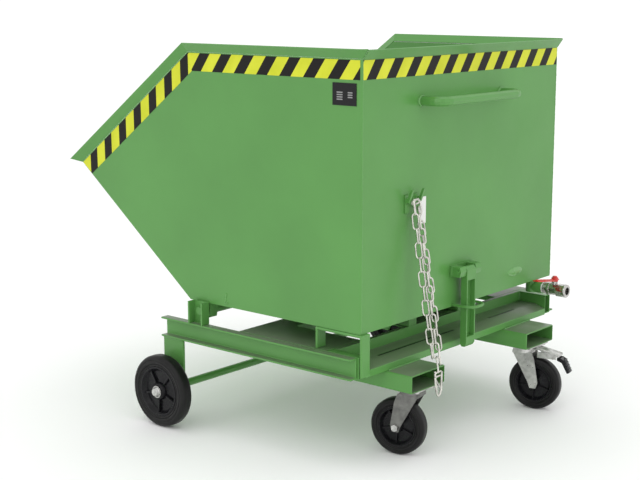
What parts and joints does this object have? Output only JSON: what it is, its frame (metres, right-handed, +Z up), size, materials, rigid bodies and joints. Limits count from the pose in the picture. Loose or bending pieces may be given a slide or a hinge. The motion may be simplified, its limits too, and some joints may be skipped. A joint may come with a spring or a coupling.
{
  "type": "tipping skip trolley",
  "caption": "Wheeled tipping skip in painted sheet steel: open hopper hinged on a base with fork pockets, casters, latch lever, drain valve and safety chain.",
  "frame": {"origin": "middle of the whole object's footprint, on the floor", "axes": "+X towards the push handle, -X towards the pouring lip, +Y the far side, +Z up"},
  "size_m": [1.3723, 1.224, 1.1608],
  "materials": {
    "green_paint": "satin paint",
    "zinc_plate": "bright zinc plate",
    "dark_zinc": "dull zinc plate",
    "black_rubber": "matte",
    "black_plastic": "satin",
    "red_lever": "dipped plastic coat",
    "white_band": "matte",
    "black_plate": "satin"
  },
  "bodies": {
    "base": {"rail_near": "green_paint", "rail_far": "green_paint", "deck_plate": "green_paint", "rear_sill": "green_paint", "corner_tube_near": "green_paint", "corner_tube_far": "green_paint", "fork_pocket_near": "green_paint", "fork_pocket_far": "green_paint", "rest_bracket": "green_paint", "hinge_post_near": "green_paint", "hinge_post_far": "green_paint", "hinge_pin_near": "green_paint", "hinge_pin_far": "green_paint", "front_leg_near": "green_paint", "front_leg_far": "green_paint", "front_axle": "green_paint", "axle_nut_near": "zinc_plate", "axle_nut_far": "zinc_plate", "caster_plate_near": "zinc_plate", "caster_plate_far": "zinc_plate"},
    "hopper": {"side_panel_near": "green_paint", "side_panel_far": "green_paint", "rear_wall": "green_paint", "floor_and_chute": "green_paint", "rim_near": "green_paint", "rim_far": "green_paint", "rim_rear": "green_paint", "rim_lip": "green_paint", "hinge_tube": "green_paint", "runner_near": "green_paint", "runner_far": "green_paint", "push_handle": "green_paint", "chain_hook": "green_paint", "chain_tag": "white_band", "type_plate": "black_plate", "drain_elbow": "green_paint", "seal_band": "white_band", "valve_body": "zinc_plate", "latch_bracket": "green_paint", "latch_pin": "green_paint", "latch_guard": "green_paint"},
    "latch": {"latch_lever": "green_paint"},
    "drain_lever": {"valve_lever": "red_lever"},
    "chain": {"safety_chain": "zinc_plate", "snap_hook": "zinc_plate"},
    "front_wheel_near": {"front_wheel_near_tyre": "black_rubber", "front_wheel_near_hub": "black_plastic"},
    "front_wheel_far": {"front_wheel_far_tyre": "black_rubber", "front_wheel_far_hub": "black_plastic"},
    "swivel_near": {"caster_fork_near": "dark_zinc", "caster_bolt_near": "zinc_plate"},
    "swivel_far": {"caster_fork_far": "zinc_plate", "caster_bolt_far": "zinc_plate", "brake_cover": "zinc_plate"},
    "caster_wheel_near": {"caster_wheel_near_tyre": "black_rubber", "caster_wheel_near_hub": "black_plastic"},
    "caster_wheel_far": {"caster_wheel_far_tyre": "black_rubber", "caster_wheel_far_hub": "black_plastic"},
    "pedal": {"brake_pedal": "black_plastic"}
  },
  "joints": [
    {"name": "hopper_tilt", "type": "hinge", "parent": "base", "child": "hopper", "pos_m": [-0.1045, 0, 0.365], "axis": [0, -1, 0], "range_deg": [0, 45]},
    {"name": "latch_swing", "type": "hinge", "parent": "hopper", "child": "latch", "pos_m": [0.5305, -0.025, 0.5], "axis": [0, -1, 0], "range_deg": [0, 9]},
    {"name": "drain_lever_turn", "type": "hinge", "parent": "hopper", "child": "drain_lever", "pos_m": [0.5585, 0.43, 0.39], "axis": [0, 0, 1], "range_deg": [0, 90]},
    {"name": "chain_swing", "type": "hinge", "parent": "hopper", "child": "chain", "pos_m": [0.5165, -0.278, 0.735], "axis": [0, -1, 0], "range_deg": [0, 60]},
    {"name": "front_wheel_near_spin", "type": "hinge", "parent": "base", "child": "front_wheel_near", "pos_m": [-0.208, -0.577, 0.111], "axis": [0, 1, 0], "continuous": true},
    {"name": "front_wheel_far_spin", "type": "hinge", "parent": "base", "child": "front_wheel_far", "pos_m": [-0.208, 0.577, 0.111], "axis": [0, 1, 0], "continuous": true},
    {"name": "swivel_near_turn", "type": "hinge", "parent": "base", "child": "swivel_near", "pos_m": [0.5315, -0.3, 0.19], "axis": [0, 0, 1], "continuous": true},
    {"name": "swivel_far_turn", "type": "hinge", "parent": "base", "child": "swivel_far", "pos_m": [0.5315, 0.3, 0.19], "axis": [0, 0, 1], "continuous": true},
    {"name": "caster_wheel_near_spin", "type": "hinge", "parent": "swivel_near", "child": "caster_wheel_near", "pos_m": [0.49237, -0.30832, 0.084], "axis": [-0.2079, 0.9781, 0], "continuous": true},
    {"name": "caster_wheel_far_spin", "type": "hinge", "parent": "swivel_far", "child": "caster_wheel_far", "pos_m": [0.57063, 0.30832, 0.084], "axis": [-0.2079, 0.9781, 0], "continuous": true},
    {"name": "pedal_press", "type": "hinge", "parent": "swivel_far", "child": "pedal", "pos_m": [0.64399, 0.32391, 0.173], "axis": [-0.2079, 0.9781, 0], "range_deg": [0, 12]}
  ]
}
